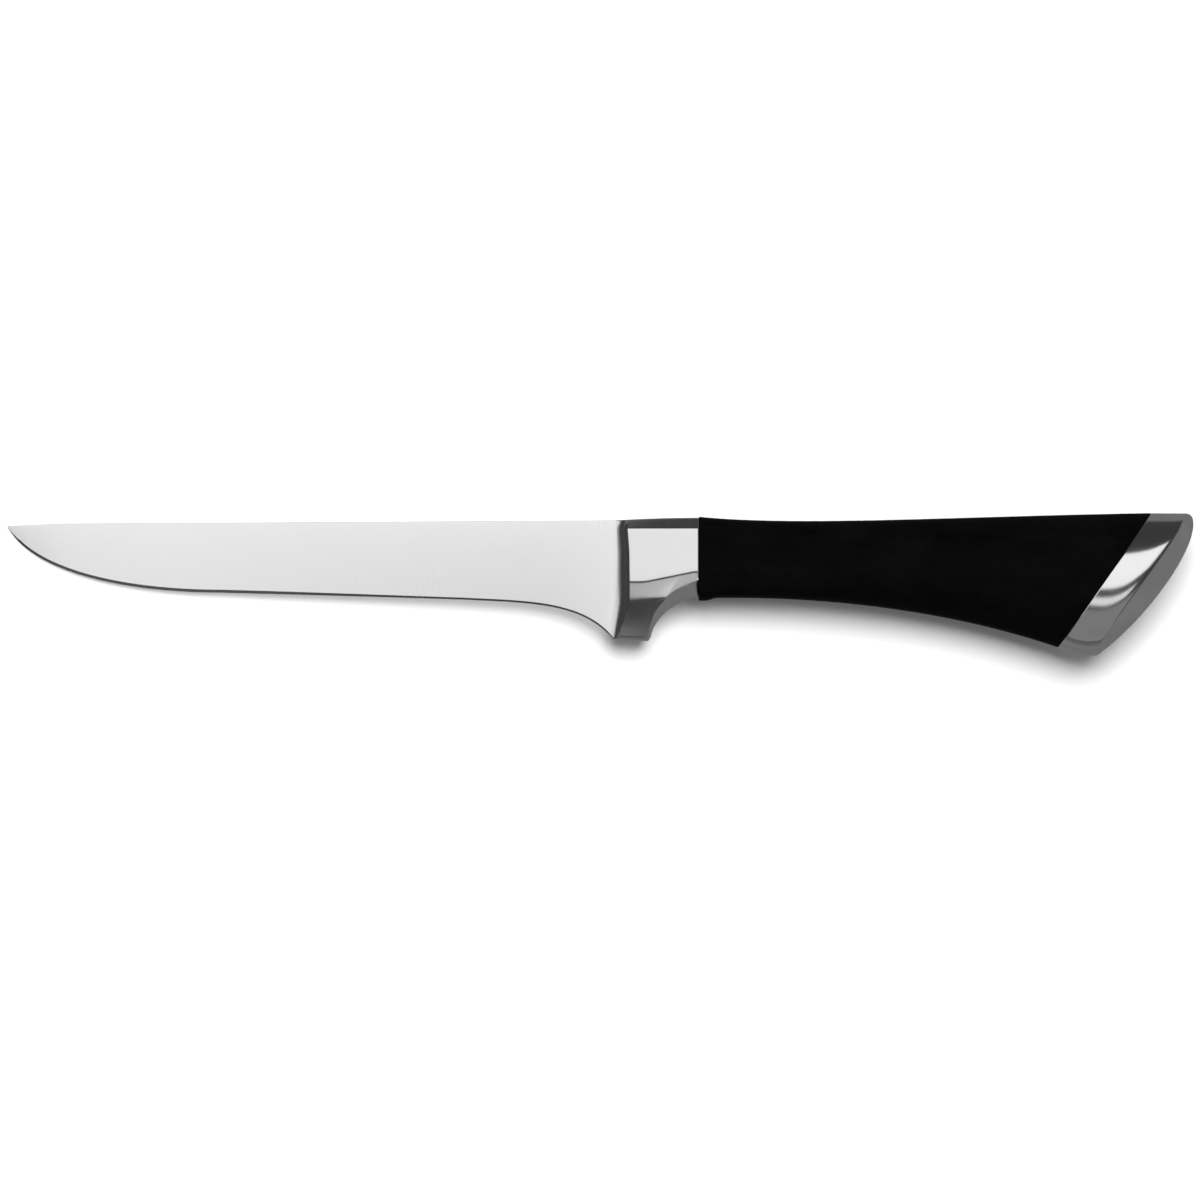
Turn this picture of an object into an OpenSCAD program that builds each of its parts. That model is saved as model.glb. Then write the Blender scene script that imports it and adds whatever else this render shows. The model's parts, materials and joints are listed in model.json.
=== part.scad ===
// Boning knife with a steel bolster, a rubber-skinned grip and a steel end cap.
// The knife lies flat: +X points to the butt, +Y to the spine, +Z up through the thickness.
// Everything is drawn around the tang axis, then moved so the origin is below the middle.

/* [Blade] */
// Length of the blade from its tip to the bolster
blade_len = 151.75; // [130:0.25:180]
// Thickness of the spine where it meets the bolster
blade_thick = 2.3; // [2:0.1:2.4]
// Thickness of the spine at the tip, as a share of the thickness at the bolster
tip_share = 0.5; // [0.4:0.05:0.8]
// Thickness of the blade just behind its ground edge
edge_thick = 0.44; // [0.3:0.02:0.6]
// Height of the ground bevel along the edge
bevel_h = 0.6; // [0.4:0.1:1]

/* [Tang] */
// Length of the flat tang behind the front of the bolster
tang_len = 60; // [56:1:62]
// Height of the flat tang
tang_h = 9; // [8:0.5:9]
// Thickness of the flat tang, a little less than the spine's
tang_thick = 1.8; // [1.6:0.1:1.8]
// Diameter of the round rod that carries the tang on to the nut
rod_d = 5; // [4:0.5:5]
// Diameter of the dowels that lock the tang in the core
dowel_d = 3; // [2:0.5:3]

/* [Handle] */
// Half thickness of the bolster at the front of its flat flank
bolster_front_z = 6; // [5.4:0.1:6.4]
// Half thickness of the bolster at the rear of its flat flank
bolster_rear_z = 7.7; // [7.4:0.1:8]
// Half thickness of the grip behind the bolster
grip_z = 7.5; // [7.4:0.05:7.7]
// Half thickness of the handle where the grip meets the end cap
butt_z = 9.3; // [8.8:0.1:9.6]
// Thickness of the soft skin of the grip
skin = 1.8; // [1.6:0.1:1.9]
// Wall thickness of the end cap
cap_wall = 1.4; // [1.2:0.1:1.4]

/* [Hidden] */
$fn = 32;

steel = "#c9ccd0";
cast_steel = "#b9bcc0";
zinc_steel = "#9da3a8";
black_rubber = "#1b1b1c";
grey_nylon = "#47484b";
amber_resin = "#c7a24a";

far = 60;          // long enough for any cutter to pass right through
gap = 0.05;        // assembly gap between mating pieces
half_n = 12;       // segments round half of a handle section

// ---- curves and rings ----

function mix(a, b, t) = a * (1 - t) + b * t;
function clamp01(t) = min(1, max(0, t));
function smooth(t) = let (u = clamp01(t)) u * u * (3 - 2 * u);
function bez(p, t) = p[0] * pow(1 - t, 3) + p[1] * 3 * pow(1 - t, 2) * t
                   + p[2] * 3 * (1 - t) * t * t + p[3] * pow(t, 3);
function signed_pow(a, e) = sign(a) * pow(abs(a), e);

// A ring from one side's points, listed from the top (z = 0) to the bottom (z = 0)
function both_sides(half) = concat(half, [for (k = [len(half) - 2 : -1 : 1])
    [half[k].x, half[k].y, -half[k].z]]);
// A ring that is flat on its inner side, for a piece split down the middle
function flat_backed(half) = concat([for (p = half) [p.x, p.y, max(p.z, gap / 2)]],
    [for (k = [len(half) - 2 : -1 : 1]) [half[k].x, half[k].y, 0]]);

// Closed surface over rings of equal length. It ends in flat strips across the rings or, with
// loop = true, its two ends join into a tube.
module surface_over(rings, loop = false) {
    n = len(rings[0]);
    m = len(rings);
    function corner(i, k) = i * n + k % n;
    function two_tris(a, b, c, d) = [
        if (a != b && b != c && a != c) [a, b, c],
        if (a != c && c != d && a != d) [a, c, d]];
    function wall(i, j) = [for (k = [0 : n - 1]) each two_tris(
        corner(i, k), corner(j, k), corner(j, k + 1), corner(i, k + 1))];
    function front_lid(i) = [for (k = [0 : n / 2 - 1]) each two_tris(
        corner(i, k), corner(i, k + 1), corner(i, n - k - 1), corner(i, n - k))];
    function rear_lid(i) = [for (k = [0 : n / 2 - 1]) each two_tris(
        corner(i, n - k), corner(i, n - k - 1), corner(i, k + 1), corner(i, k))];
    polyhedron(
        points = [for (r = rings) each r],
        faces = concat(
            [for (i = [0 : m - 2]) each wall(i, i + 1)],
            loop ? wall(m - 1, 0) : concat(front_lid(0), rear_lid(m - 1))));
}

module rod_along_x(d, x0, x1, y = 0, z = 0) {
    translate([x0, y, z])
        rotate([0, 90, 0])
            cylinder(d = d, h = x1 - x0);
}

// ---- blade outline and thickness ----

mid_x = -38.5;                 // where the straight edge turns into the heel
belly_x = 53.3 - blade_len;    // where the curved belly turns into the straight edge
belly = [[-blade_len, 7.6], [5.7 - blade_len, -3.1], [27 - blade_len, -8.7], [belly_x, -8.8]];
heel = [[mid_x, -10.5], [-20, -11.4], [-8.8, -11.2], [-0.4, -20.4]];
straight = [[belly_x, -8.8], [belly_x + 30, -9.6], [mid_x, -10.5]];
spine = [[-blade_len, 7.75], [13.25 - blade_len, 8.4], [-53.5, 8.9], [0.4, 9.25]];
function spine_y(x) = let (i = x < spine[1].x ? 0 : x < spine[2].x ? 1 : 2)
    mix(spine[i].y, spine[i + 1].y, (x - spine[i].x) / (spine[i + 1].x - spine[i].x));

// Junction line of blade and bolster, from the spine to the heel, as x, y and half thickness
nose = [[0.4, 9.25, 1.3], [0.55, 7.25, 1.3], [0.75, 1, 1.2], [0.7, -5.9, 1.05],
        [0.45, -10.9, 0.8], [0, -15.2, 0.6], [-0.3, -19.6, 0.45], [-0.4, -20.4, 0.4]];
side_n = len(nose) - 2;        // last point of a side above the edge itself
crown = 0.05;                  // the spine and the ends of the bolster are slightly crowned
tang_root = 0.3;               // the tang starts here, inside the swollen end of the blade

function edge_points() = concat(
    [for (t = [0.005, 0.03, 0.07, 0.12, 0.2, 0.3, 0.42, 0.56, 0.7, 0.85]) bez(belly, t)],
    straight,
    [for (t = [0.2, 0.4, 0.55, 0.7, 0.8, 0.88, 0.95]) bez(heel, t)]);

// Half thickness of the ground blade at x, from the spine (v = 0) to the bevel (v = 1)
function blade_z(x, v) = let (taper = mix(1, tip_share, clamp01(-x / blade_len)))
    mix(blade_thick / 2 * taper, edge_thick / 2, pow(v, 1.3));
// The blade swells in a hollow curve over the last millimetres before the bolster
swell_len = 3;
function swell(x) = pow(clamp01(1 + x / swell_len), 2);

function blade_half(e) = let (top = spine_y(e.x), low = min(e.y + bevel_h, top - 0.15)) concat(
    [[e.x, top + crown, 0]],
    [for (k = [0 : side_n]) let (v = k / side_n, z = blade_z(e.x, v))
        [e.x, mix(top, low, v), mix(z, max(z, nose[k].z - 0.1), swell(e.x))]],
    [[e.x, e.y, 0]]);
nose_half = concat(
    [[nose[0].x, nose[0].y + crown, 0]],
    [for (k = [0 : side_n]) [nose[k].x, nose[k].y, nose[k].z - 0.1]],
    [[nose[side_n + 1].x, nose[side_n + 1].y, 0]]);

module blade() {
    color(steel)
        difference() {
            union() {
                surface_over(concat(
                    [for (e = edge_points()) both_sides(blade_half(e))],
                    [both_sides(nose_half)]));
                translate([tang_root, -tang_h / 2, -tang_thick / 2])
                    cube([tang_len - tang_root, tang_h, tang_thick]);
            }
            for (x = dowel_x)
                translate([x, 0, 0])
                    cylinder(d = dowel_d + 2 * gap, h = far, center = true);
        }
}

// ---- bolster ----

bolster_len = 21;
pocket_x = 11.5;               // depth at which the tang slot opens into the rear pocket
pocket_h = 13;
pocket_z = 4.8;
guard_share = 0.4;             // share of the stations that lie along the guard
band_share = 0.73;             // the band below the flank tapers out at this station

facet_top = [[8.6, -18.8], [9.3, -12.6], [13.4, -8.6], [bolster_len, -5.5]];
guard_back = [[9, -20], [10.1, -14.5], [15.2, -11], [bolster_len, -9.6]];
// How the facet rises from the guard to the grip, as a share of its rise at each share of its length
facet_rise = [[0, 0], [0.17, 0.21], [0.33, 0.42], [0.43, 0.55], [0.55, 0.74], [1, 1]];

// Side outline points of the bolster at station u, from the ramp (0) to its rear face (1)
function bolster_x(u, front) = mix(front, bolster_len, u);
// The flank is one plane, which widens towards the grip
function flank_z(x) = mix(bolster_front_z, bolster_rear_z, (x - 3.6) / (bolster_len - 3.6));
function facet(u) = u < guard_share
    ? let (t = u / guard_share) [mix(0.9, 8.1, t), mix(-19.7, -20.1, t), mix(2.2, 2.6, t)]
    : let (t = (u - guard_share) / (1 - guard_share), p = bez(facet_top, t))
        [p.x, p.y, mix(2.7, bolster_rear_z - 0.4, lookup(t, facet_rise))];
function guard_edge(u) = u < guard_share
    ? let (t = u / guard_share) [mix(0.5, 8.5, t), mix(-20.4, -20.9, t), mix(1.6, 1.9, t)]
    : let (t = (u - guard_share) / (1 - guard_share), p = bez(guard_back, t))
        [p.x, p.y, mix(2, 3.4, t)];
function band(u) = let (f = facet(u), g = facet(band_share), p = u < band_share
        ? mix([3.75, -10.9], [g.x, g.y + 0.35], u / band_share)
        : [f.x, f.y + 0.35])
    [p.x, p.y, flank_z(p.x) - mix(0.85, 0.35, u)];
// The guard is scooped out between the band and its lower edge
function scoop(u) = let (b = band(u), f = facet(u))
    [mix(b.x, f.x, 0.4), mix(b.y, f.y, 0.4), mix(b.z, f.z, 0.52)];
function bolster_half(u) = let (top = mix(9.45, 9.9, 1 - pow(1 - u, 2)), x = bolster_x(u, 3.2)) [
    [bolster_x(u, 3.4), top + crown, 0],
    [bolster_x(u, 3.4), top, flank_z(bolster_x(u, 3.4)) - 2.2],
    [x, 7.25, flank_z(x)],
    [bolster_x(u, 3.65), mix(1, 2, u), flank_z(bolster_x(u, 3.65))],
    [bolster_x(u, 3.75), mix(-5.9, -3.4, clamp01((u - 0.22) / 0.72)), flank_z(bolster_x(u, 3.75))],
    band(u),
    scoop(u),
    facet(u),
    guard_edge(u),
    [guard_edge(u).x, guard_edge(u).y - crown, 0]];
bolster_nose = concat(
    [[nose[0].x, nose[0].y + crown, 0]],
    nose,
    [[nose[side_n + 1].x, nose[side_n + 1].y - crown, 0]]);
// The ramp in front of the flank is hollow: at t of its length it has risen by share
function ramp(t, share) = let (top = bolster_half(0)) [for (k = [0 : len(top) - 1]) let (
    p = mix(bolster_nose[k], top[k], t)) [p.x, p.y, mix(bolster_nose[k].z, top[k].z, share)]];

module bolster() {
    stations = [0, 0.2, 0.39, 0.41, 0.45, 0.52, 0.6, band_share, 0.86, 1];
    color(cast_steel)
        difference() {
            surface_over(concat(
                [both_sides(bolster_nose), both_sides(ramp(0.4, 0.12)), both_sides(ramp(0.75, 0.42))],
                [for (u = stations) both_sides(bolster_half(u))]));
            translate([-1, -tang_h / 2 - gap, -tang_thick / 2 - gap])
                cube([far, tang_h + 2 * gap, tang_thick + 2 * gap]);
            translate([pocket_x, -pocket_h / 2, -pocket_z])
                cube([far, pocket_h, 2 * pocket_z]);
        }
}

// ---- handle sections ----

joint_top = [134.05, 11.1];
joint_low = [110.75, -22.45];
grip_top = [[bolster_len + gap, 10.2], [46, 7.65], [86, 10.35], joint_top];
grip_low = [[bolster_len + gap, -10.25], [46, -9.4], [80, -12], joint_low];
facet_line = [[142.6, 11.05], [139.8, 3], [126.6, -11], [119.8, -24.45]];
butt_line = [[144.5, 9.8], [146, 3], [133.5, -14.5], [121.6, -23.7]];
joint_dir = (joint_low - joint_top) / norm(joint_low - joint_top);
joint_out = [-joint_dir.y, joint_dir.x];    // normal of the joint line, towards the butt
lip_h = 0.6;                                // the grip stands this proud below the bolster
lip_share = 0.045;

rear_power = 2.15;                          // the rear sections are nearly elliptical
function section_power(s) = mix(4, rear_power, smooth(s * 1.25));
// A half section of the handle: a super-ellipse between two outline points, drawn inwards by off
function section_half(top, low, z, power, off) = let (size = norm(low - top))
    [for (k = [0 : half_n]) let (a = 180 * k / half_n, e = 2 / power,
        p = mix(top, low, 0.5 - (0.5 - off / size) * signed_pow(cos(a), e)))
        [p.x, p.y, (z - off) * (k == 0 || k == half_n ? 0 : pow(sin(a), e))]];

function grip_half_z(s) = bez([grip_z, grip_z + 0.3, butt_z - 0.4, butt_z], s);
function grip_half(s, off, lip = 0) = section_half(bez(grip_top, s), bez(grip_low, s) - [0, lip],
    grip_half_z(s), section_power(s), off);

// Half section of the end cap at station h: 0 is the joint, 1 the crisp edge of the side, and
// from 1 to 2 the surface slopes in as a chamfer to the end wall
belly_bow = 0.6;               // how far the lower outline of the cap bows out
cap_edge_z = 8.9;              // half thickness at the crisp edge
end_share = 0.47;              // half thickness of the end wall, as a share of cap_edge_z
top_bow = [0.3, 0.32];         // how far the corners of the end wall bow out
low_bow = [0.1, -0.22];
function cap_line(h, v, off) = h <= 1
    ? mix(mix(joint_top, joint_low, v), bez(facet_line, v) - joint_out * off, h)
        - [0, belly_bow * 4 * h * (1 - h) * v * v]
    : mix(bez(facet_line, v), bez(butt_line, v), h - 1) - joint_out * off
        + (top_bow * pow(1 - v, 9) + low_bow * pow(v, 9)) * 4 * (h - 1) * (2 - h);
function cap_half(h, off) = let (size = norm(cap_line(min(h, 1), 1, 0) - cap_line(min(h, 1), 0, 0)),
    z = (mix(butt_z, cap_edge_z, min(h, 1)) - off) * mix(1, end_share, max(0, h - 1)))
    [for (k = [0 : half_n]) let (a = 180 * k / half_n, e = 2 / rear_power,
        v = 0.5 - (0.5 - off / size) * signed_pow(cos(a), e), p = cap_line(h, v, off))
        [p.x, p.y, z * (k == 0 || k == half_n ? 0 : pow(sin(a), e))]];

grip_stations = [for (i = [0 : 16]) i / 16];
cap_stations = [0, 0.3, 0.6, 0.85, 1, 1.5, 2];
last_h = len(cap_stations) - 1;

// ---- tang, core and fixings ----

dowel_x = [30, 44];
dowel_len = 8;
rod_y = -2;
rod_start = tang_len - 8;
nut_seat = 112;                // the washer bears on the core here
washer_h = 1;
lock_h = 1.2;
nut_h = 4;
nut_af = 8;                    // across flats
rod_end = nut_seat + washer_h + lock_h + nut_h + 2;
nut_room_d = 10.4;             // counterbore that takes the nut and its socket

core_off = skin + gap;         // the core lies this far inside the outer surface
core_stations = [for (i = [0 : 10]) i / 10];
spigot_depth = 0.8;            // how far the core reaches into the end cap, as a cap station
spigot_stations = [0.4, spigot_depth];

stud_d = 3;
stud_at = [[6.5, 124, 139.6], [-13.5, 106, 125]];    // y, inner end and outer end of each stud
boss_d = 4.4;

peg_d = 2.5;
peg_h = 2.5;
peg_at = [[79.5, 4.8], [94.5, 5.2], [79.5, -7.5], [94.5, -9.5]];
coring_x = [66.5, 81.5, 96.5];      // front ends of the moulded hollows beside the rod
coring_len = 11;
coring_top = 6;
coring_z = 4.2;

module tang_rod() {
    color(zinc_steel)
        difference() {
            rod_along_x(rod_d, rod_start, rod_end, rod_y);
            translate([rod_start - 1, rod_y - rod_d, -tang_thick / 2 - gap / 2])
                cube([tang_len - rod_start + 1 + gap / 2, 2 * rod_d, tang_thick + gap]);
        }
}

module tang_dowels() {
    color(zinc_steel)
        for (x = dowel_x)
            translate([x, 0, -dowel_len / 2])
                cylinder(d = dowel_d, h = dowel_len);
}

// One moulded half of the core, on the +Z side
module core_half() {
    difference() {
        union() {
            surface_over(concat(
                [for (s = core_stations) flat_backed(grip_half(s, core_off))],
                [for (h = spigot_stations) flat_backed(cap_half(h, core_off))]));
            translate([pocket_x + 2 * gap, -pocket_h / 2 + gap, 0])
                cube([bolster_len - pocket_x + 1, pocket_h - 2 * gap, pocket_z - gap]);
        }
        translate([0, -tang_h / 2 - gap, -1])
            cube([tang_len + 2 * gap, tang_h + 2 * gap, 1 + tang_thick / 2 + gap]);
        rod_along_x(rod_d + 2 * gap, rod_start - 2 * gap, nut_seat + 1, rod_y);
        rod_along_x(nut_room_d, nut_seat, nut_seat + far, rod_y);
        for (x = dowel_x)
            translate([x, 0, -1])
                cylinder(d = dowel_d + 2 * gap, h = 1 + dowel_len / 2 + gap);
        for (s = stud_at)
            rod_along_x(stud_d + 4 * gap, s[1] - 1, s[2] + far, s[0]);
        for (i = [0 : len(coring_x) - 1])
            for (low = [[3.4, coring_top], [-9.5 - 2 * i, -6.2]])
                translate([coring_x[i], low[0], -1])
                    cube([coring_len, low[1] - low[0], 1 + coring_z]);
    }
}

module core_left() {
    color(grey_nylon)
        union() {
            core_half();
            for (p = peg_at)
                translate([p.x, p.y, -peg_h])
                    cylinder(d = peg_d, h = peg_h + 1);
        }
}

module core_right() {
    color(grey_nylon)
        difference() {
            mirror([0, 0, 1])
                core_half();
            for (p = peg_at)
                translate([p.x, p.y, -peg_h - 4 * gap])
                    cylinder(d = peg_d + 2 * gap, h = far);
        }
}

module tang_washer() {
    color(zinc_steel)
        translate([nut_seat, rod_y, 0])
            rotate([0, 90, 0])
                difference() {
                    cylinder(d = 10, h = washer_h);
                    translate([0, 0, -1])
                        cylinder(d = rod_d + 0.3, h = far);
                }
}

// A spring washer: a ring of square wire, cut through on one side
module lock_washer() {
    color(zinc_steel)
        translate([nut_seat + washer_h, rod_y, 0])
            rotate([0, 90, 0])
                difference() {
                    cylinder(d = rod_d + 3.6, h = lock_h);
                    translate([0, 0, -1])
                        cylinder(d = rod_d + 0.3, h = far);
                    translate([0, -0.4, -1])
                        cube([rod_d + 4, 0.8, far]);
                }
}

module tang_nut() {
    color(zinc_steel)
        translate([nut_seat + washer_h + lock_h, rod_y, 0])
            rotate([0, 90, 0])
                difference() {
                    cylinder(d = nut_af / cos(30), h = nut_h, $fn = 6);
                    translate([0, 0, -1])
                        cylinder(d = rod_d + 2 * gap, h = far);
                }
}

// ---- outer handle ----

function lip_at(s) = s <= lip_share ? lip_h : s <= lip_share + 0.02 ? lip_h / 2 : 0;

module grip_skin() {
    outer = concat([0, lip_share, lip_share + 0.03], [for (i = [2 : 16]) grip_stations[i]]);
    color(black_rubber)
        surface_over(concat(
            [for (s = outer) both_sides(grip_half(s, 0, lip_at(s)))],
            [for (i = [10 : -1 : 0]) both_sides(grip_half(core_stations[i], skin))]), loop = true);
}

module end_cap() {
    color(steel)
        translate(concat(joint_out * gap, 0))
            union() {
                surface_over(concat(
                    [for (i = [last_h : -1 : 0]) both_sides(cap_half(cap_stations[i], cap_wall))],
                    [for (h = cap_stations) both_sides(cap_half(h, 0))]));
                intersection() {
                    surface_over([for (h = cap_stations) both_sides(cap_half(h, cap_wall / 2))]);
                    for (s = stud_at)
                        rod_along_x(boss_d, s[2], s[2] + far, s[0]);
                }
            }
}

module cap_studs() {
    color(zinc_steel)
        for (s = stud_at)
            rod_along_x(stud_d, s[1], s[2], s[0]);
}

// Cured adhesive, a thin sleeve between the core's spigot and the inside of the cap
module cap_adhesive() {
    outer = cap_wall + gap;
    inner = core_off - 2 * gap;
    color(amber_resin)
        translate(concat(joint_out * gap, 0))
            surface_over(concat(
                [for (h = [0.06, 0.4, spigot_depth]) both_sides(cap_half(h, outer))],
                [for (h = [spigot_depth, 0.4, 0.06]) both_sides(cap_half(h, inner))]), loop = true);
}

// ---- place in the final frame ----

outline = concat(
    [[-blade_len, 0]],
    [for (s = grip_stations) bez(grip_top, s)],
    [for (h = cap_stations) cap_line(h, 1, 0)],
    [for (h = cap_stations) cap_line(h, 0, 0)],
    [for (v = [0 : 0.05 : 1]) bez(butt_line, v)]);
low_corner = [min([for (p = outline) p.x]), min([for (p = outline) p.y])];
high_corner = [max([for (p = outline) p.x]), max([for (p = outline) p.y])];

module place() {
    translate([-(low_corner.x + high_corner.x) / 2, -(low_corner.y + high_corner.y) / 2, butt_z])
        children();
}

place() blade();
place() bolster();
place() tang_rod();
place() core_left();
place() core_right();
place() tang_dowels();
place() tang_washer();
place() lock_washer();
place() tang_nut();
place() grip_skin();
place() end_cap();
place() cap_studs();
place() cap_adhesive();
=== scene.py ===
"""Looks of a boning knife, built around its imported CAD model.

The knife lies on its side: +X points to the butt, +Y to the spine and +Z up. Outlines are
written in millimetres from the tang axis at the front of the bolster, and world() turns them
into the frame's metres.
"""
import json
import math

import bmesh
import bpy
import numpy as np
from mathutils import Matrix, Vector

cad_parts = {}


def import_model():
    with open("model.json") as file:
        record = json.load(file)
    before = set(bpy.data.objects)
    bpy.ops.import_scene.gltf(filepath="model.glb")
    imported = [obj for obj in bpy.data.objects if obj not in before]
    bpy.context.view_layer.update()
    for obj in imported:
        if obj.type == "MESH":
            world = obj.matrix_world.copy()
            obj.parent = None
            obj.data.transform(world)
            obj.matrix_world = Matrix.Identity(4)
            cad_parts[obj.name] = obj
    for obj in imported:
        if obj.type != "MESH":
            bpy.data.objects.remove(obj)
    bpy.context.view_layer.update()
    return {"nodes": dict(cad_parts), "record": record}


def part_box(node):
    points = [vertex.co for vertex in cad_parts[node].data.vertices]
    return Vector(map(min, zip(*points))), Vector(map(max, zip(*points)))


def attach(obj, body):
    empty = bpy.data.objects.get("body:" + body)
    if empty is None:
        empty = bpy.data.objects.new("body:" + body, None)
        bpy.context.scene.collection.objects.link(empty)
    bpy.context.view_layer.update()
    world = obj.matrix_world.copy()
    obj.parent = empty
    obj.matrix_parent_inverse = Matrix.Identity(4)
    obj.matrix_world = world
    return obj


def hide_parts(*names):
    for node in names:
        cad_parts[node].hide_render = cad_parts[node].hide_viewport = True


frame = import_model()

MM = 0.001

# ---- places and sizes taken from the frame, in millimetres from the tang axis ----

DOWEL_X = 37.0                                   # middle of the two dowels
DOWEL_STEP = 7.0                                 # from there to each dowel
DOWEL_HOLE_R = 1.55
dowels_low, dowels_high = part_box("tang_dowels")
ORIGIN = (dowels_low + dowels_high) / 2 - Vector((DOWEL_X * MM, 0, 0))


def local(point):
    """A point of the frame, in millimetres from the tang axis."""
    return (Vector(point) - ORIGIN) / MM


def world(points):
    """Millimetres from the tang axis to metres in the frame."""
    return np.asarray(points, float) * MM + np.array(ORIGIN)


TIP_X = local(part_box("blade")[0]).x
TANG_END = local(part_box("blade")[1]).x
BOLSTER_END = local(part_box("bolster")[1]).x
BOLSTER_Z = local(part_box("bolster")[1]).z
GRIP_START = local(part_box("grip_skin")[0]).x
BUTT_Z = local(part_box("end_cap")[1]).z
GAP = 0.05                                       # clearance between neighbouring pieces
TANG_H = 9.0
TANG_Z = 0.8                                     # half thickness, as every name with _Z
SPINE_Z = 1.15
THROUGH = 5.0                                    # reach of the cutting tools


# ---- curves and rings ----

def mix(a, b, t):
    return np.asarray(a, float) * (1 - t) + np.asarray(b, float) * t


def smooth(t):
    t = min(1.0, max(0.0, t))
    return t * t * (3 - 2 * t)


def bez(p, t):
    p = np.asarray(p, float)
    return (p[0] * (1 - t) ** 3 + p[1] * 3 * (1 - t) ** 2 * t
            + p[2] * 3 * (1 - t) * t * t + p[3] * t ** 3)


def both_sides(half):
    """Closed ring from one side's points, which run from the top (z = 0) to the bottom (z = 0)."""
    half = np.asarray(half, float)
    back = half[-2:0:-1] * np.array([1, 1, -1])
    return np.concatenate([half, back])


def even_spacing(half, count):
    """The same line with its points at equal distances."""
    half = np.asarray(half, float)
    run = np.concatenate([[0], np.cumsum(np.linalg.norm(np.diff(half, axis=0), axis=1))])
    at = np.linspace(0, run[-1], count)
    return np.stack([np.interp(at, run, half[:, i]) for i in range(3)], axis=1)


def rounded_corner(before, corner, after, radius, steps=4):
    """Points that round off a corner, starting and ending a radius away from it."""
    def towards(other):
        d = np.asarray(other, float) - corner
        n = np.linalg.norm(d)
        return corner + d * min(radius / max(n, 1e-9), 0.45)
    corner = np.asarray(corner, float)
    a, b = towards(before), towards(after)
    return [a * (1 - t) ** 2 + corner * 2 * t * (1 - t) + b * t * t
            for t in np.linspace(0, 1, steps)]


def make_object(name, verts, faces, sharp_deg=30):
    mesh = bpy.data.meshes.new(name)
    mesh.from_pydata([tuple(v) for v in verts], [], faces)
    mesh.validate()
    obj = bpy.data.objects.new(name, mesh)
    bpy.context.scene.collection.objects.link(obj)
    tidy_mesh(obj, sharp_deg)
    return obj


def tidy_mesh(obj, sharp_deg):
    """Merges doubled points, turns normals outwards and shades smooth except at crisp edges."""
    bm = bmesh.new()
    bm.from_mesh(obj.data)
    bmesh.ops.remove_doubles(bm, verts=bm.verts, dist=1e-6)
    bmesh.ops.dissolve_degenerate(bm, dist=1e-7, edges=bm.edges)
    bmesh.ops.recalc_face_normals(bm, faces=bm.faces)
    bm.to_mesh(obj.data)
    bm.free()
    obj.data.shade_smooth()
    obj.data.set_sharp_from_angle(angle=math.radians(sharp_deg))


def loft(name, rings, loop=False, sharp_deg=30):
    """Closed surface over rings of equal length, with flat strips across its ends."""
    rings = [world(r) for r in rings]
    n, m = len(rings[0]), len(rings)
    faces = []
    for i in range(m if loop else m - 1):
        j = (i + 1) % m
        faces += [(i * n + k, i * n + (k + 1) % n, j * n + (k + 1) % n, j * n + k)
                  for k in range(n)]
    if not loop:
        for i in (0, m - 1):
            faces += [(i * n + k, i * n + k + 1, i * n + n - k - 1, i * n + (n - k) % n)
                      for k in range(n // 2)]
    faces = [tuple(dict.fromkeys(f)) for f in faces]
    return make_object(name, np.concatenate(rings), faces, sharp_deg)


def box_tool(name, low, high):
    low, high = world(low), world(high)
    verts = [(x, y, z) for x in (low[0], high[0]) for y in (low[1], high[1])
             for z in (low[2], high[2])]
    faces = [(0, 1, 3, 2), (4, 6, 7, 5), (0, 4, 5, 1), (2, 3, 7, 6), (0, 2, 6, 4), (1, 5, 7, 3)]
    return make_object(name, verts, faces)


def cylinder_tool(name, start, end, radius, sides=48):
    """Cylinder along X or Z between two points, all in millimetres."""
    start, end = np.asarray(start, float), np.asarray(end, float)
    along_z = abs(end[2] - start[2]) > abs(end[0] - start[0])
    turn = np.linspace(0, 2 * math.pi, sides, endpoint=False)
    ring = np.stack([np.cos(turn), np.sin(turn), 0 * turn], axis=1) * radius
    if not along_z:
        ring = ring[:, [2, 0, 1]]
    verts = world(np.concatenate([ring + start, ring + end]))
    faces = [(k, (k + 1) % sides, sides + (k + 1) % sides, sides + k) for k in range(sides)]
    faces += [tuple(range(sides)), tuple(range(sides, 2 * sides))]
    return make_object(name, verts, faces)


def combine(obj, tool, operation, sharp_deg):
    """Adds or cuts a tool and removes it."""
    step = obj.modifiers.new("step", "BOOLEAN")
    step.operation = operation
    step.solver = "EXACT"
    step.object = tool
    bpy.context.view_layer.update()
    result = bpy.data.meshes.new_from_object(
        obj.evaluated_get(bpy.context.evaluated_depsgraph_get()))
    obj.modifiers.clear()
    obj.data = result
    bpy.data.objects.remove(tool)
    tidy_mesh(obj, sharp_deg)


# ---- blade ----

BELLY_END = TIP_X + 53.3
HEEL_START = -38.5
BELLY = [(TIP_X, 7.6), (TIP_X + 5.7, -3.1), (TIP_X + 27, -8.7), (BELLY_END, -8.8)]
STRAIGHT = [(BELLY_END, -8.8), (BELLY_END + 30, -9.6), (HEEL_START, -10.5)]
HEEL = [(HEEL_START, -10.5), (-20, -11.4), (-8.8, -11.2), (-0.4, -20.4)]
SPINE = [(TIP_X, 7.75), (TIP_X + 13.25, 8.4), (-53.5, 8.9), (0.4, 9.25)]
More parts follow.
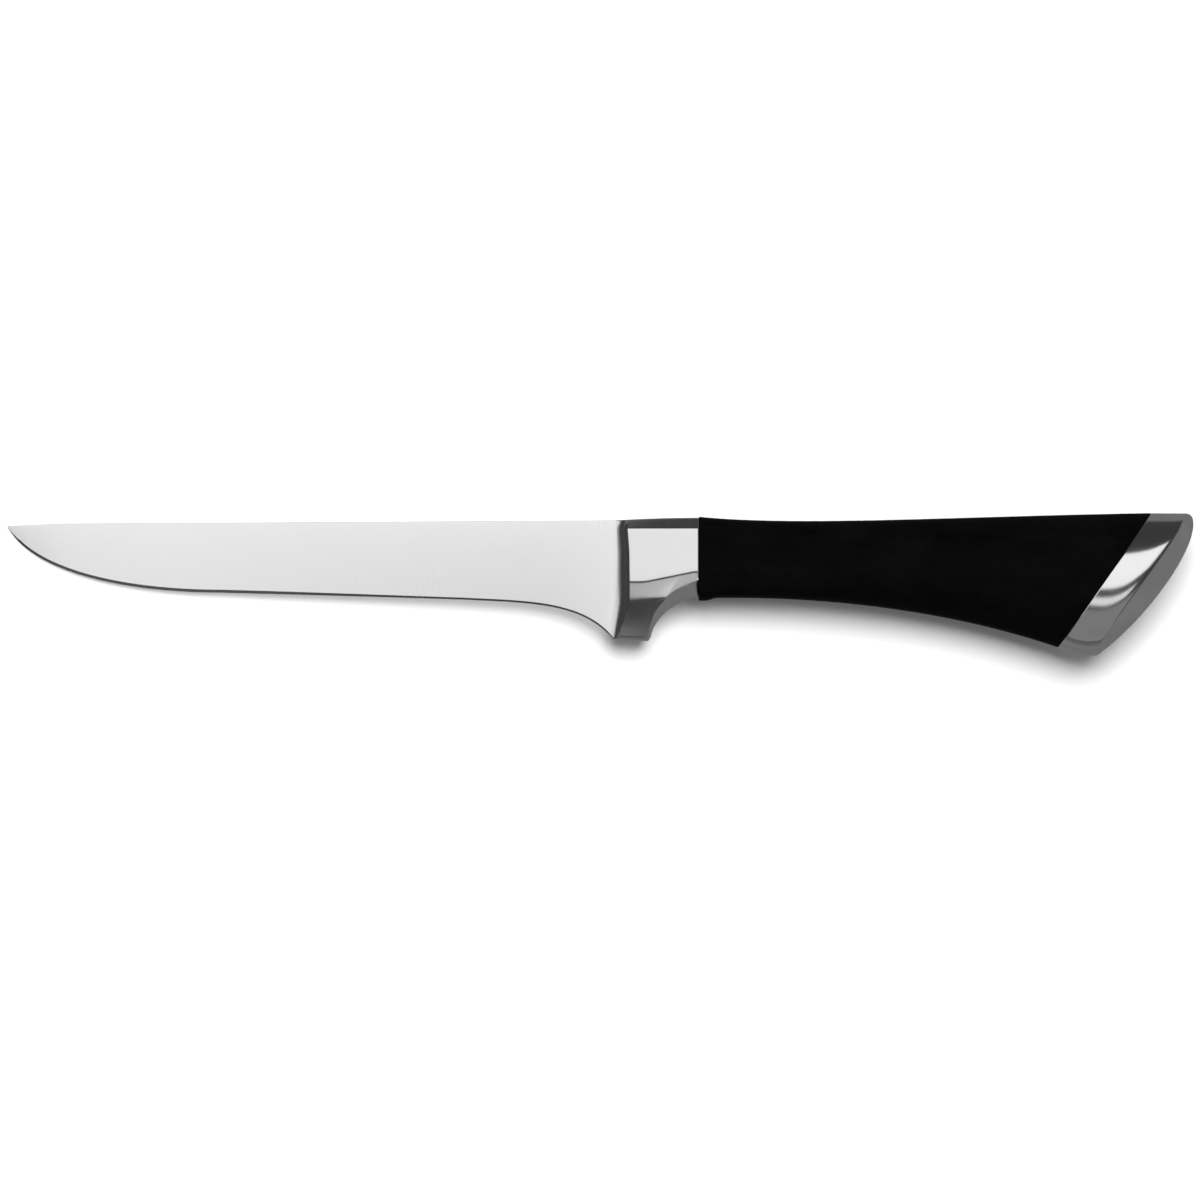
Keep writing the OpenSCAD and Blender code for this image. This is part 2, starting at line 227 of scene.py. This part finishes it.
# Junction line of blade and bolster, from the spine to the heel: x, y and half thickness
NOSE = np.array([(0.4, 9.25, 1.25), (0.55, 7.25, 1.24), (0.75, 1, 1.07), (0.7, -5.9, 0.87),
                 (0.45, -10.9, 0.7), (0, -15.2, 0.54), (-0.3, -19.6, 0.38), (-0.4, -20.4, 0.32)])
EDGE_Z = 0.22
EDGE_ROUND = 0.04                                # rounding of the spine's edges
GRIND = 0.045                                    # steepest slope of the ground sides
SWELL_LEN = 1.6                                  # the blade thickens over this end of it
LEAN_LEN = 12.0                                  # and its sections lean over this one
CROWN = 0.02                                     # the narrow outer faces are slightly crowned


def straight_edge(x):
    """Height of the edge between belly and heel: a curve through STRAIGHT's three points."""
    xs, ys = zip(*STRAIGHT)
    return float(np.polyval(np.polyfit(xs, ys, 2), x))


def edge_line():
    belly = [bez(BELLY, t) for t in np.linspace(0.006, 1, 60) ** 1.3]
    middle = [(x, straight_edge(x)) for x in np.linspace(BELLY_END, HEEL_START, 40)[1:-1]]
    heel = [bez(HEEL, t) for t in np.linspace(0, 1, 60)]
    return belly + middle + heel


def spine_y(x):
    xs, ys = zip(*SPINE)
    return float(np.interp(x, xs, ys))


def nose_at(y, column):
    """x (column 0) or half thickness (column 2) of the junction line at a height."""
    order = NOSE[:, 1].argsort()
    return float(np.interp(y, NOSE[order, 1], NOSE[order, column]))


def blade_half(edge):
    x, low_y = edge
    top_y = spine_y(x)
    height = top_y - low_y
    bevel = min(mix(0.75, 0.5, smooth((x - BELLY_END) / 60)), height * 0.17)
    spine_z = min(SPINE_Z * mix(0.5, 1, min(1, (x - TIP_X) / -TIP_X)), EDGE_Z + GRIND * height)
    round_r = min(EDGE_ROUND, height * 0.2)
    end_x = HEEL[-1][0]
    swell = max(0.0, 1 + (x - end_x) / SWELL_LEN) ** 2
    share = np.concatenate([[0, 0.01, 0.03], np.linspace(0.06, 1, 22)])
    half = [(x, top_y + CROWN, 0), (x, top_y, (spine_z - round_r) * 0.6)]
    for turn in np.linspace(0, math.pi / 2, 4):
        half.append((x, top_y - round_r * (1 - math.cos(turn)),
                     spine_z - round_r * (1 - math.sin(turn))))
    for v in share[1:]:
        y = mix(top_y - round_r, low_y + bevel, v)
        half.append((x, y, mix(spine_z, EDGE_Z, v ** 1.15)))
    half.append((x, low_y, 0))
    half = np.array(half, float)
    if swell > 0:
        for p in half[1:-1]:
            z_nose = nose_at(p[1], 2) * (p[2] / max(spine_z, p[2]) if p[1] > top_y - round_r else 1)
            p[2] = mix(p[2], max(p[2], z_nose), swell)
    # The last sections lean over gradually to follow the junction line
    lean = max(0.0, 1 + (x - end_x) / LEAN_LEN)
    for p in half:
        p[0] += (nose_at(p[1], 0) - end_x) * lean
    return half


def make_blade():
    rings = [both_sides(blade_half(e)) for e in edge_line()]
    blade = loft("blade_ground", rings, sharp_deg=12)
    tang = box_tool("tang_tool", (0.3, -TANG_H / 2, -TANG_Z), (TANG_END, TANG_H / 2, TANG_Z))
    combine(blade, tang, "UNION", 12)
    for x in (DOWEL_X - DOWEL_STEP, DOWEL_X + DOWEL_STEP):
        hole = cylinder_tool("hole_tool", (x, 0, -THROUGH), (x, 0, THROUGH), DOWEL_HOLE_R)
        combine(blade, hole, "DIFFERENCE", 12)
    return blade


# ---- bolster ----

FRONT_Z = 6.0
GUARD_SHARE = 0.4
BAND_SHARE = 0.73
FACET_RISE = [(0, 0.08, 0.17, 0.33, 0.43, 0.55, 0.7, 1), (0, 0.09, 0.21, 0.4, 0.53, 0.72, 0.83, 1)]
RAMP_POWER = 3.0
FACET_TOP = [(8.6, -18.8), (9.3, -12.6), (13.4, -8.6), (BOLSTER_END, -5.5)]
GUARD_BACK = [(9, -20), (10.1, -14.5), (15.2, -11), (BOLSTER_END, -9.6)]
SCOOP_STEPS = (0.18, 0.34, 0.52, 0.7, 0.86)
REAR_EDGE = BOLSTER_END - 0.5                    # a narrow polished edge in front of the grip
LEDGE = 0.13                                     # small step along the lower side of the flank
POCKET_X = 11.5                                  # the slot opens into a pocket from here on
POCKET_HALF_H = 6.5
POCKET_Z = 4.8


def flank_z(x):
    return float(mix(FRONT_Z, BOLSTER_Z, (x - 3.6) / (BOLSTER_END - 3.6))
                 - max(0, x - REAR_EDGE) * 0.19)


def facet(u):
    if u < GUARD_SHARE:
        t = u / GUARD_SHARE
        return np.array([mix(0.9, 8.1, t), mix(-19.7, -20.1, t), mix(2.2, 2.6, t)])
    t = (u - GUARD_SHARE) / (1 - GUARD_SHARE)
    return np.array([*bez(FACET_TOP, t), mix(2.95, BOLSTER_Z - 0.4, np.interp(t, *FACET_RISE))])


def guard_edge(u):
    if u < GUARD_SHARE:
        t = u / GUARD_SHARE
        return np.array([mix(0.5, 8.5, t), mix(-20.4, -20.9, t), mix(1.6, 1.9, t)])
    t = (u - GUARD_SHARE) / (1 - GUARD_SHARE)
    return np.array([*bez(GUARD_BACK, t), mix(2, 3.4, t)])


def band(u):
    """Lower edge of the band below the flank, which tapers out along the facet."""
    above = facet(max(u, BAND_SHARE))[:2] + [0, 0.35]
    x, y = above if u > BAND_SHARE else mix((3.75, -10.9), above, u / BAND_SHARE)
    return np.array([x, y, flank_z(x) - mix(0.85, 0.35, u)])


def scoop(u, t):
    b, f = band(u), facet(u)
    p = mix(b, f, t)
    p[2] = mix(b[2], f[2], 0.72 * t + 0.28 * (1 - (1 - t) ** 3))
    return p


def bolster_corners(u):
    """Corners of the bolster's half section at station u, with each corner's rounding radius."""
    x, top_x, middle_x, low_x = (float(mix(start, BOLSTER_END, u))
                                 for start in (3.2, 3.4, 3.65, 3.75))
    top_y = float(mix(9.45, 9.9, 1 - (1 - u) ** 2))
    low_y = float(mix(-5.9, -3.4, min(1, max(0, (u - 0.22) / 0.72))))
    guard = guard_edge(u)
    return [
        ((top_x, top_y + CROWN, 0), 0),
        ((top_x, top_y, flank_z(top_x) - 2.2), 0.3),
        ((x, 7.25, flank_z(x)), 0.12),
        ((middle_x, 1.5, flank_z(middle_x)), 0.5),
        ((low_x, low_y, flank_z(low_x)), 0.12),
        ((low_x, low_y - 0.45, flank_z(low_x) - LEDGE), 0.15),
        (band(u), 0.8),
        *((scoop(u, t), 0.5) for t in SCOOP_STEPS),
        (facet(u), 0.12),
        (guard, 0.25),
        ((guard[0], guard[1] - CROWN, 0), 0)]


def nose_corners():
    """The same corners on the junction line with the blade."""
    scoop_ys = [mix(-10.9, -19.6, t) for t in SCOOP_STEPS]
    ys = [9.25 + CROWN, 9.25, 7.25, 1.5, -5.9, -6.4, -10.9, *scoop_ys, -19.6, -20.4,
          -20.4 - CROWN]
    line = [[nose_at(y, 0), y, nose_at(y, 2)] for y in ys]
    line[0][2] = line[-1][2] = 0
    radii = [r for _, r in bolster_corners(0)]
    return list(zip(line, radii))


def fine_section(corners):
    """Half section with rounded corners and evenly divided facets."""
    points = [np.array(p, float) for p, _ in corners]
    half = [points[0]]
    for before, (corner, radius), after in zip(points, corners[1:-1], points[2:]):
        rounded = rounded_corner(before, np.array(corner, float), after, radius)
        half += [mix(half[-1], rounded[0], t) for t in (0.25, 0.5, 0.75)]
        half += rounded
    half += [mix(half[-1], points[-1], t) for t in (0.5, 1)]
    return np.array(half)


def make_bolster():
    nose = fine_section(nose_corners())
    ramp_top = fine_section(bolster_corners(0))
    stations = np.concatenate([[0.004], np.linspace(0.016, 0.36, 12),
                               np.linspace(0.38, 0.44, 9), np.linspace(0.45, 0.965, 34),
                               [0.971, 0.974, 0.98, 0.993]])
    body = [fine_section(bolster_corners(u)) for u in stations]
    # The ramp is hollow: it leaves the blade almost flat and ends nearly upright
    rings = []
    for t in (0, 0.06, 0.13, 0.2, 0.28, 0.37, 0.46, 0.56, 0.66, 0.75, 0.83, 0.89, 0.94, 0.975):
        ring = mix(nose, ramp_top, t)
        rise = 0.12 * t + 0.88 * (1 - (1 - t ** RAMP_POWER) ** (1 / RAMP_POWER))
        ring[:, 2] = mix(nose[:, 2], ramp_top[:, 2], rise)
        rings.append(ring)
    rings.append(mix(ramp_top, mix(rings[-1], body[0], 0.5), 0.3))
    rings += body
    rear = fine_section(bolster_corners(1))
    centre = np.array([BOLSTER_END, 1, 0])
    rings.append(mix(rear, centre, 0.004) - [0.04, 0, 0])
    rings.append(mix(rear, centre, 0.02))
    rings.append(mix(rear, centre, 0.3))
    bolster = loft("bolster_cast", [both_sides(r) for r in rings], sharp_deg=25)
    slot = box_tool("slot_tool", (-3, -TANG_H / 2 - GAP, -TANG_Z - GAP),
                    (BOLSTER_END + THROUGH, TANG_H / 2 + GAP, TANG_Z + GAP))
    combine(bolster, slot, "DIFFERENCE", 25)
    pocket = box_tool("pocket_tool", (POCKET_X, -POCKET_HALF_H, -POCKET_Z),
                      (BOLSTER_END + THROUGH, POCKET_HALF_H, POCKET_Z))
    combine(bolster, pocket, "DIFFERENCE", 25)
    return bolster


# ---- grip and end cap ----

JOINT_TOP = np.array([134.05, 11.1])
JOINT_LOW = np.array([110.75, -22.45])
JOINT_OUT = np.array([-(JOINT_LOW - JOINT_TOP)[1], (JOINT_LOW - JOINT_TOP)[0]])
JOINT_OUT = JOINT_OUT / np.linalg.norm(JOINT_OUT)
GRIP_TOP = [(GRIP_START, 10.2), (46, 7.65), (86, 10.35), JOINT_TOP]
GRIP_LOW = [(GRIP_START, -10.25), (46, -9.4), (80, -12), JOINT_LOW]
FACET_LINE = [(142.6, 11.05), (139.8, 3), (126.6, -11), (119.8, -24.45)]
BUTT_LINE = [(144.5, 9.8), (145.99, 3), (133.5, -14.5), (121.6, -23.7)]
FRONT_POWER = 4.0
REAR_POWER = 2.15
GRIP_FRONT_Z = 7.5
SKIN = 1.8
CAP_WALL = 1.4
END_SHARE = 0.47                                 # thickness of the end wall, of the cap's own
BELLY_BOW = 0.55                                 # how far the cap's underside bows out
TOP_CORNER = np.array([0.3, 0.32])               # how far the corners of the end wall bow out
LOW_CORNER = np.array([0.1, -0.2])
LIP_H = 0.6
RING_HALF = 57


def section_half(top, low, half_z, power, off, shape=None):
    """Half of a super-ellipse between two outline points, drawn inwards by off."""
    size = np.linalg.norm(np.asarray(low) - top)
    half = []
    for a in np.linspace(0, math.pi, 361):
        c = math.cos(a)
        v = 0.5 - (0.5 - off / size) * math.copysign(abs(c) ** (2 / power), c)
        p = shape(v) if shape else mix(top, low, v)
        half.append((p[0], p[1], (half_z - off) * max(0.0, math.sin(a)) ** (2 / power)))
    half[0] = (*half[0][:2], 0)
    half[-1] = (*half[-1][:2], 0)
    return even_spacing(half, RING_HALF)


def grip_ring(s, off=0.0, lip=0.0):
    power = mix(FRONT_POWER, REAR_POWER, smooth(s * 1.25))
    half_z = bez([GRIP_FRONT_Z, GRIP_FRONT_Z + 0.3, BUTT_Z - 0.4, BUTT_Z], s)
    low = bez(GRIP_LOW, s) - np.array([0, lip])
    return both_sides(section_half(bez(GRIP_TOP, s), low, half_z, power, off))


def lip_at(s):
    x = bez(GRIP_LOW, s)[0]
    return LIP_H * (1 - smooth((x - 22.6) / 3.2))


def make_grip():
    edge_r = 0.3
    rings = []
    for turn in np.linspace(0, math.pi / 2, 6)[:-1]:
        s = edge_r * (1 - math.cos(turn)) / 75
        rings.append(grip_ring(s, edge_r * (1 - math.sin(turn)), LIP_H))
    for s in np.concatenate([np.linspace(0.005, 0.1, 24), np.linspace(0.115, 0.995, 76)]):
        rings.append(grip_ring(s, 0, lip_at(s)))
    for turn in np.linspace(0, math.pi / 2, 4):
        rings.append(grip_ring(1 - 0.1 * (1 - math.sin(turn)) / 120, 0.1 * (1 - math.cos(turn))))
    rings += [grip_ring(s, SKIN) for s in np.linspace(1, 0, 40)]
    return loft("grip_moulding", rings, loop=True, sharp_deg=50)


def cap_line(h, v, off):
    if h <= 1:
        side = mix(mix(JOINT_TOP, JOINT_LOW, v), bez(FACET_LINE, v) - JOINT_OUT * off, h)
        return side - np.array([0, BELLY_BOW * 4 * h * (1 - h) * v * v])
    bow = 4 * (h - 1) * (2 - h)
    corner = TOP_CORNER * (1 - v) ** 9 + LOW_CORNER * v ** 9
    return mix(bez(FACET_LINE, v), bez(BUTT_LINE, v), h - 1) + corner * bow - JOINT_OUT * off


def cap_half(h, off=0.0, share=None, drawn=0.0):
    """Half section of the cap at station h: 0 is the joint, 1 the crisp edge, 2 the end wall."""
    half_z = BUTT_Z - 0.12 * min(h, 1) - 0.4 * min(h, 1) ** 5
    narrow = share if share is not None else float(mix(1, END_SHARE, max(0.0, h - 1)))
    half = section_half(cap_line(min(h, 1), 0, 0), cap_line(min(h, 1), 1, 0), half_z,
                        REAR_POWER, off, lambda v: cap_line(h, v, off))
    half[:, 2] *= narrow
    half[:, :2] -= JOINT_OUT * drawn
    return half


def turn_over(before, crisp, after, shares):
    """Rings that carry the surface round a crisp edge."""
    return [before * (1 - t) ** 2 + crisp * 2 * t * (1 - t) + after * t * t for t in shares]


def make_end_cap():
    outer = [cap_half(0, 0.1), cap_half(0.004, 0.04), cap_half(0.012)]
    outer += [cap_half(h) for h in np.linspace(0.03, 0.965, 26)]
    outer += turn_over(cap_half(0.965), cap_half(1), cap_half(1.05), (0.2, 0.35, 0.5, 0.65, 0.8))
    outer += [cap_half(h) for h in np.linspace(1.05, 1.93, 14)]
    outer += turn_over(cap_half(1.93), cap_half(2), cap_half(2, 0, END_SHARE * 0.9),
                       (0.2, 0.4, 0.6, 0.8))
    outer += [cap_half(2, 0, END_SHARE * s) for s in (0.9, 0.7, 0.45, 0.2)]
    inner = [cap_half(h, CAP_WALL) for h in np.linspace(2, 1, 6)]
    inner += [cap_half(h, CAP_WALL) for h in np.linspace(0.9, 0, 12)]
    shell = inner + outer
    return loft("end_cap_shell",
                [both_sides(r) + np.array([*(JOINT_OUT * GAP), 0]) for r in shell], sharp_deg=35)


# ---- materials ----

def new_material(name, color, metallic, roughness):
    material = bpy.data.materials.new(name)
    material.use_nodes = True
    shader = material.node_tree.nodes["Principled BSDF"]
    shader.inputs["Base Color"].default_value = (*color, 1)
    shader.inputs["Metallic"].default_value = metallic
    shader.inputs["Roughness"].default_value = roughness
    return material, material.node_tree, shader


def noise(tree, stretch, scale=1.0, detail=3.0, roughness=0.55, distortion=0.0):
    """Noise over object coordinates, stretched by a factor on each axis."""
    coords = tree.nodes.new("ShaderNodeTexCoord")
    mapping = tree.nodes.new("ShaderNodeMapping")
    mapping.inputs["Scale"].default_value = stretch
    texture = tree.nodes.new("ShaderNodeTexNoise")
    texture.inputs["Scale"].default_value = scale
    texture.inputs["Detail"].default_value = detail
    texture.inputs["Roughness"].default_value = roughness
    texture.inputs["Distortion"].default_value = distortion
    tree.links.new(coords.outputs["Object"], mapping.inputs["Vector"])
    tree.links.new(mapping.outputs["Vector"], texture.inputs["Vector"])
    return texture.outputs["Fac"]


def remap(tree, value, low, high, from_low=0.3, from_high=0.7):
    node = tree.nodes.new("ShaderNodeMapRange")
    node.inputs["From Min"].default_value = from_low
    node.inputs["From Max"].default_value = from_high
    node.inputs["To Min"].default_value = low
    node.inputs["To Max"].default_value = high
    tree.links.new(value, node.inputs["Value"])
    return node.outputs["Result"]


def math_node(tree, operation, a, b):
    node = tree.nodes.new("ShaderNodeMath")
    node.operation = operation
    for socket, value in zip(node.inputs, (a, b)):
        if isinstance(value, (int, float)):
            socket.default_value = value
        else:
            tree.links.new(value, socket)
    return node.outputs[0]


def blend_colors(tree, factor, dark, light):
    node = tree.nodes.new("ShaderNodeMix")
    node.data_type = "RGBA"
    node.inputs["A"].default_value = (*dark, 1)
    node.inputs["B"].default_value = (*light, 1)
    tree.links.new(factor, node.inputs["Factor"])
    return node.outputs["Result"]


def add_bump(tree, shader, height, strength, distance):
    node = tree.nodes.new("ShaderNodeBump")
    node.inputs["Strength"].default_value = strength
    node.inputs["Distance"].default_value = distance
    tree.links.new(height, node.inputs["Height"])
    tree.links.new(node.outputs["Normal"], shader.inputs["Normal"])


def steel_material(name, light, dark, rough_low, rough_high, grain, grain_depth):
    """Ground or polished steel: fine directional scratches over slow, cloudy variation."""
    material, tree, shader = new_material(name, light, 1.0, rough_low)
    scratches = noise(tree, grain, detail=4.0, roughness=0.7)
    clouds = noise(tree, (60, 60, 60), detail=2.0)
    blend = math_node(tree, "ADD", math_node(tree, "MULTIPLY", scratches, 0.6),
                      math_node(tree, "MULTIPLY", clouds, 0.4))
    tree.links.new(blend_colors(tree, remap(tree, blend, 0, 1), dark, light),
                   shader.inputs["Base Color"])
    tree.links.new(remap(tree, blend, rough_low, rough_high), shader.inputs["Roughness"])
    add_bump(tree, shader, scratches, 1.0, grain_depth)
    return material


def rubber_material():
    """Soft-touch black rubber: a fine moulded grain with slight scuffing."""
    material, tree, shader = new_material("grip_rubber", (0.001, 0.001, 0.001), 0, 0.62)
    shader.inputs["Specular IOR Level"].default_value = 0.05
    grain = noise(tree, (3000, 3000, 3000), detail=2.0)
    scuffs = noise(tree, (90, 160, 160), detail=5.0, roughness=0.65)
    tree.links.new(blend_colors(tree, remap(tree, scuffs, 0, 1), (0.0006, 0.0006, 0.0006),
                                (0.0022, 0.0022, 0.0023)), shader.inputs["Base Color"])
    tree.links.new(remap(tree, scuffs, 0.55, 0.72), shader.inputs["Roughness"])
    add_bump(tree, shader, grain, 0.6, 0.00006)
    return material


def plastic_material(name, light, dark, roughness, grain_scale):
    material, tree, shader = new_material(name, light, 0, roughness)
    grain = noise(tree, (grain_scale,) * 3, detail=3.0)
    tree.links.new(blend_colors(tree, remap(tree, grain, 0, 1), dark, light),
                   shader.inputs["Base Color"])
    tree.links.new(remap(tree, grain, roughness - 0.08, roughness + 0.08),
                   shader.inputs["Roughness"])
    add_bump(tree, shader, grain, 0.4, 0.00005)
    return material


def dress(obj, material):
    obj.data.materials.clear()
    obj.data.materials.append(material)


MATERIALS = {
    "blade_steel": steel_material("blade_steel", (0.882, 0.882, 0.887), (0.822, 0.822, 0.829),
                                  0.24, 0.28, (2200, 110, 110), 0.0000004),
    "bolster_steel": steel_material("bolster_steel", (0.77, 0.77, 0.77), (0.72, 0.72, 0.724),
                                    0.22, 0.28, (700, 90, 90), 0.000003),
    "cap_steel": steel_material("cap_steel", (0.78, 0.78, 0.785), (0.7, 0.7, 0.705),
                                0.1, 0.16, (200, 200, 200), 0.000006),
    "hidden_steel": steel_material("hidden_steel", (0.58, 0.59, 0.61), (0.44, 0.45, 0.46),
                                   0.38, 0.5, (300, 900, 900), 0.00002),
    "grip_rubber": rubber_material(),
    "core_nylon": plastic_material("core_nylon", (0.05, 0.05, 0.053), (0.03, 0.03, 0.032),
                                   0.5, 900),
    "adhesive": plastic_material("adhesive", (0.5, 0.33, 0.09), (0.38, 0.24, 0.06), 0.25, 300),
}

# ---- pieces ----

PIECES = [
    (make_blade(), "blade", "blade_steel"),
    (make_bolster(), "bolster", "bolster_steel"),
    (make_grip(), "grip_skin", "grip_rubber"),
    (make_end_cap(), "end_cap", "cap_steel"),
]
for piece, node, slot in PIECES:
    dress(piece, MATERIALS[slot])
    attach(piece, "root")
    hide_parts(node)

replaced = {node for _, node, _ in PIECES}
for part in frame["record"]["subparts"]:
    if part["node"] not in replaced:
        dress(frame["nodes"][part["node"]], MATERIALS[part["material_slot"]])

# ---- stage, light and camera ----

# The knife rests on its tip and on the rear edge of the bolster, so the surface it lies on
# tilts a little in the knife's own frame.
rest_tilt = math.atan((BOLSTER_Z - EDGE_Z) / (BOLSTER_END - TIP_X))


def make_floor():
    size = 3.0
    mesh = bpy.data.meshes.new("floor")
    mesh.from_pydata([(-size, -size, 0), (size, -size, 0), (size, size, 0), (-size, size, 0)],
                     [], [(0, 1, 2, 3)])
    floor = bpy.data.objects.new("floor", mesh)
    bpy.context.scene.collection.objects.link(floor)
    floor.location = world((BOLSTER_END, 0, -BOLSTER_Z))
    floor.rotation_euler = (0, rest_tilt, 0)
    floor.visible_glossy = False
    material, _, shader = new_material("floor", (0.9, 0.9, 0.9), 0, 0.9)
    shader.inputs["Specular IOR Level"].default_value = 0.0
    dress(floor, material)


CEILING = 0.05
FILL = 0.25                                      # even light on matt surfaces
BACKDROP = 0.95                                  # what the eye sees past the floor
FRAME_WIDTH = 0.300
VIEW_MIDDLE = (-3.625, -10.625)                  # under the lens, in mm from the tang axis


def softbox(name, direction, distance, size_x, size_y, radiance, in_reflections, on_floor,
            target=(0, 0, 0), spared=()):
    """Soft light aimed at a target. The spared pieces cast no shadow in it."""
    light = bpy.data.lights.new(name, "AREA")
    light.shape = "RECTANGLE"
    light.size, light.size_y = size_x, size_y
    light.energy = radiance * math.pi * size_x * size_y
    obj = bpy.data.objects.new(name, light)
    bpy.context.scene.collection.objects.link(obj)
    aim = Vector(direction).normalized()
    obj.location = Vector(target) + aim * distance
    obj.rotation_euler = aim.to_track_quat("Z", "Y").to_euler()
    obj.visible_camera = False
    obj.visible_glossy = in_reflections
    obj.visible_diffuse = on_floor
    if spared:
        blockers = bpy.data.collections.new(name + "_blockers")
        for piece in spared:
            blockers.objects.link(piece)
        for item in blockers.collection_objects:
            item.light_linking.link_state = "EXCLUDE"
        obj.light_linking.blocker_collection = blockers


def make_world():
    """Dim studio: dark ceiling, greyer towards the front and right, pale to the eye."""
    scene_world = bpy.data.worlds.new("studio")
    bpy.context.scene.world = scene_world
    scene_world.use_nodes = True
    tree = scene_world.node_tree
    background = tree.nodes["Background"]
    background.inputs["Color"].default_value = (1, 1, 1, 1)
    coords = tree.nodes.new("ShaderNodeTexCoord")
    split = tree.nodes.new("ShaderNodeSeparateXYZ")
    tree.links.new(coords.outputs["Generated"], split.inputs[0])
    x, y, z = split.outputs

    def blend(factor, a, b):
        node = tree.nodes.new("ShaderNodeMix")
        for name, value in (("Factor", factor), ("A", a), ("B", b)):
            if isinstance(value, (int, float)):
                node.inputs[name].default_value = value
            else:
                tree.links.new(value, node.inputs[name])
        return node.outputs["Result"]

    side = remap(tree, math_node(tree, "SUBTRACT", x, y), 0.06, 0.23, -0.7, 0.2)
    walls = blend(remap(tree, z, 1, 0, 0.0, 0.5), CEILING, side)
    room = blend(remap(tree, z, 1, 0, -0.15, 0.02), walls, 0.2)
    path = tree.nodes.new("ShaderNodeLightPath").outputs
    fill = blend(path["Is Diffuse Ray"], room, FILL)
    tree.links.new(blend(path["Is Camera Ray"], fill, BACKDROP), background.inputs["Strength"])


def make_camera():
    """Long lens that looks straight down on the knife as it lies."""
    camera = bpy.data.objects.new("camera", bpy.data.cameras.new("camera"))
    bpy.context.scene.collection.objects.link(camera)
    camera.data.lens = 400
    camera.data.sensor_width = 36
    distance = FRAME_WIDTH * camera.data.lens / camera.data.sensor_width
    camera.location = (ORIGIN.x + VIEW_MIDDLE[0] * MM, ORIGIN.y + VIEW_MIDDLE[1] * MM,
                       ORIGIN.z + distance)
    camera.data.clip_end = 20
    bpy.context.scene.camera = camera


make_floor()
# Three lights that the steel mirrors, and two of one shape that light the floor and cast shadows
softbox("overhead", (-0.01, 0.139, 1), 1.2, 1.03, 0.67, 1.13, in_reflections=True, on_floor=False)
softbox("strip", (-0.01, -0.3, 1), 1.2, 1.03, 0.14, 0.92, in_reflections=True, on_floor=False)
softbox("card", (0, -1, 1), 0.25, 0.24, 0.19, 0.19, in_reflections=True, on_floor=False,
        target=(0.17, 0, 0))
softbox("key", (0.2, 0.42, 1), 1.5, 0.95, 0.85, 7.6, in_reflections=False, on_floor=True)
softbox("blade_fill", (0.2, 0.42, 1), 1.5, 0.95, 0.85, 4.0, in_reflections=False, on_floor=True,
        spared=[PIECES[0][0]])
make_world()
make_camera()
bpy.context.scene.view_settings.view_transform = "Standard"
